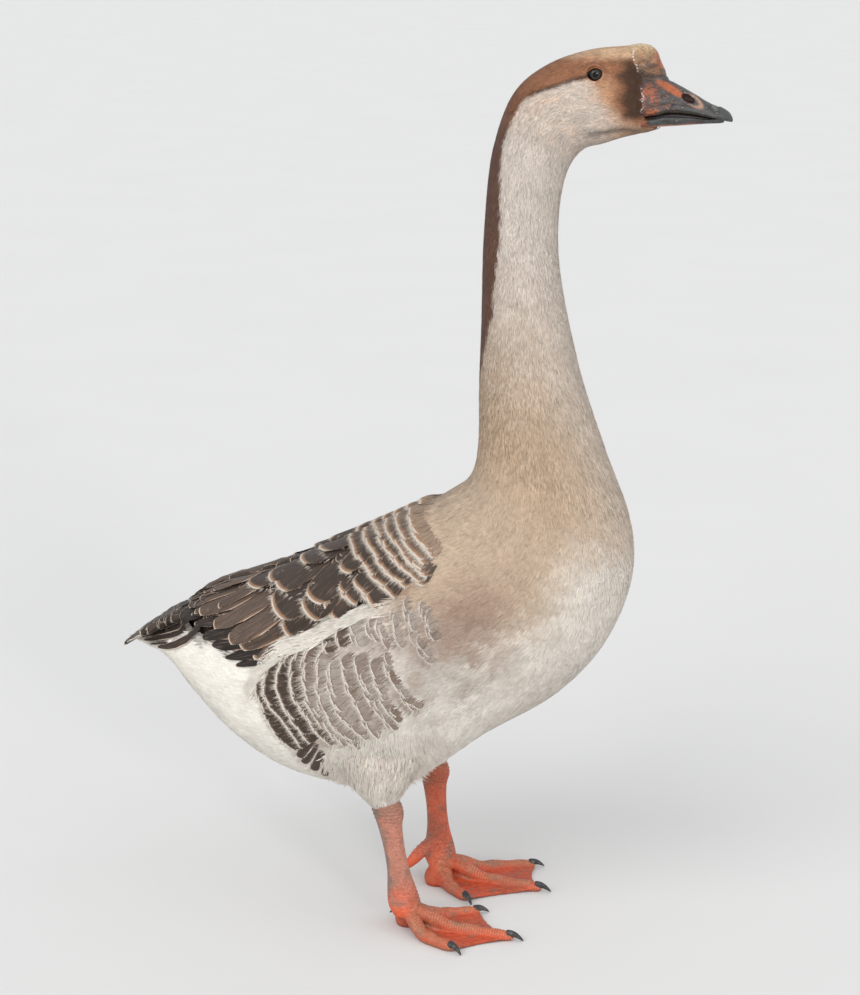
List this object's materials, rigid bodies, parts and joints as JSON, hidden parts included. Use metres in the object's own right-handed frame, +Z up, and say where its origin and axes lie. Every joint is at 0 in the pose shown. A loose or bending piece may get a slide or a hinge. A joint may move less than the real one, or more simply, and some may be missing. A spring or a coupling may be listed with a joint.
{
  "type": "domestic goose",
  "caption": "Knobbed domestic goose standing upright on webbed feet, wings folded and neck raised, the head turned a little to its left; a still life-size model.",
  "frame": {"origin": "on the floor under the middle of the bird's bounding box", "axes": "+X the way the body faces, +Y to the bird's left, +Z up"},
  "size_m": [0.5302, 0.2291, 0.7734],
  "materials": {
    "body_plumage": "matte feathers, cream to pale grey, with dark brown bars on the flank",
    "neck_plumage": "matte fine feathers, cream to buff, with a dark brown stripe up the back",
    "head_plumage": "matte short feathers, brown cap over a cream throat",
    "wing_feathers": "satin grey-brown feathers with pale ragged edges",
    "quill_feathers": "satin dark brown quills with thin pale edges",
    "knob_skin": "pebbled, tan to orange brown",
    "bill_horn": "satin charcoal horn mottled with orange",
    "eye": "wet and glossy, very dark brown",
    "leg_skin": "scaly orange red skin, stained grey brown",
    "claw_horn": "satin near-black horn"
  },
  "bodies": {
    "root": {"trunk": "body_plumage", "neck_lower": "neck_plumage", "neck_upper": "neck_plumage", "head": "head_plumage", "knob": "knob_skin", "bill_upper": "bill_horn", "bill_lower": "bill_horn", "eye_right": "eye", "wing_right": "wing_feathers", "wing_tip_right": "quill_feathers", "thigh_right": "body_plumage", "shank_right": "leg_skin", "foot_right": "leg_skin", "hind_toe_right": "leg_skin", "claw_outer_right": "claw_horn", "claw_middle_right": "claw_horn", "claw_inner_right": "claw_horn", "claw_hind_right": "claw_horn", "eye_left": "eye", "wing_left": "wing_feathers", "wing_tip_left": "quill_feathers", "thigh_left": "body_plumage", "shank_left": "leg_skin", "foot_left": "leg_skin", "hind_toe_left": "leg_skin", "claw_outer_left": "claw_horn", "claw_middle_left": "claw_horn", "claw_inner_left": "claw_horn", "claw_hind_left": "claw_horn", "tail": "quill_feathers"}
  },
  "joints": []
}
